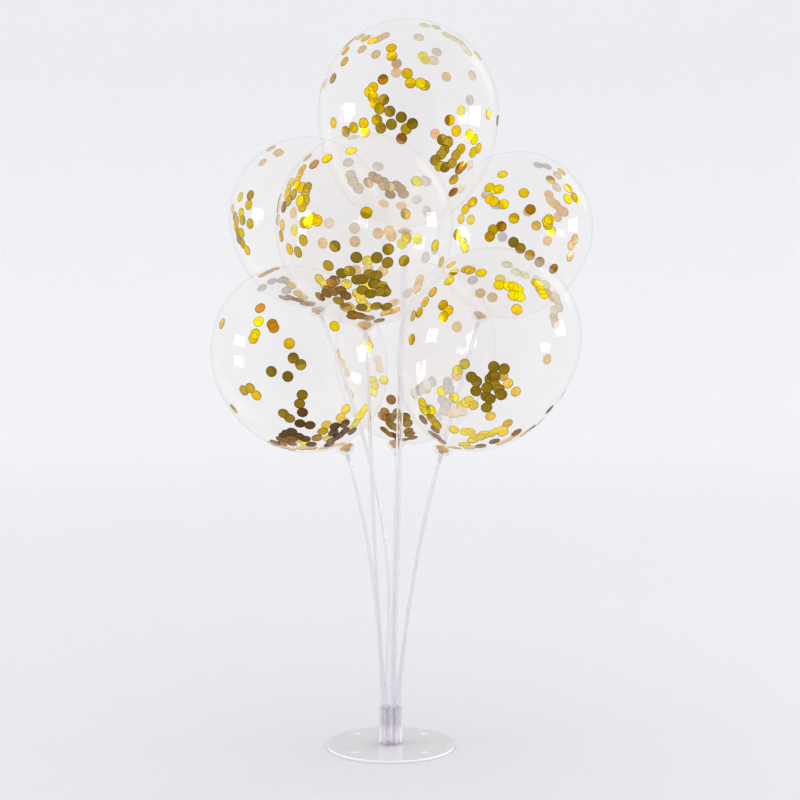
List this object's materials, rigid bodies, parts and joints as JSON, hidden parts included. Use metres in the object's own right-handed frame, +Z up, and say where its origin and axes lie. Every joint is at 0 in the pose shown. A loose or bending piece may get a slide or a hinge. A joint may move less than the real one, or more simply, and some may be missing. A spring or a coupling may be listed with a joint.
{
  "type": "confetti balloon table stand",
  "caption": "Thin round base disc with clear curved sticks whose flared cups hold a cluster of clear balloons filled with gold foil dots.",
  "frame": {"origin": "centre of the base disc's flat underside", "axes": "+Z up along the stand, -Y towards the front where one balloon stands before the others, +X to the right of someone who looks at the front"},
  "size_m": [0.4673, 0.5462, 0.8899],
  "materials": {
    "white_plastic": "gloss",
    "clear_plastic": "clear gloss",
    "balloon_film": "clear, slightly milky gloss",
    "gold_foil": "bright foil, on the dots inside the balloons"
  },
  "bodies": {
    "root": {"base_disc": "white_plastic", "socket_hub": "clear_plastic", "centre_pole": "clear_plastic", "stick_low_left": "clear_plastic", "stick_low_right": "clear_plastic", "stick_low_back": "clear_plastic", "stick_front": "clear_plastic", "stick_mid_left": "clear_plastic", "stick_mid_right": "clear_plastic", "cup_low_left": "clear_plastic", "cup_low_right": "clear_plastic", "cup_low_back": "clear_plastic", "cup_front": "clear_plastic", "cup_mid_left": "clear_plastic", "cup_mid_right": "clear_plastic", "cup_top": "clear_plastic", "balloon_low_left": "balloon_film", "balloon_low_right": "balloon_film", "balloon_low_back": "balloon_film", "balloon_front": "balloon_film", "balloon_mid_left": "balloon_film", "balloon_mid_right": "balloon_film", "balloon_top": "balloon_film"}
  },
  "joints": []
}
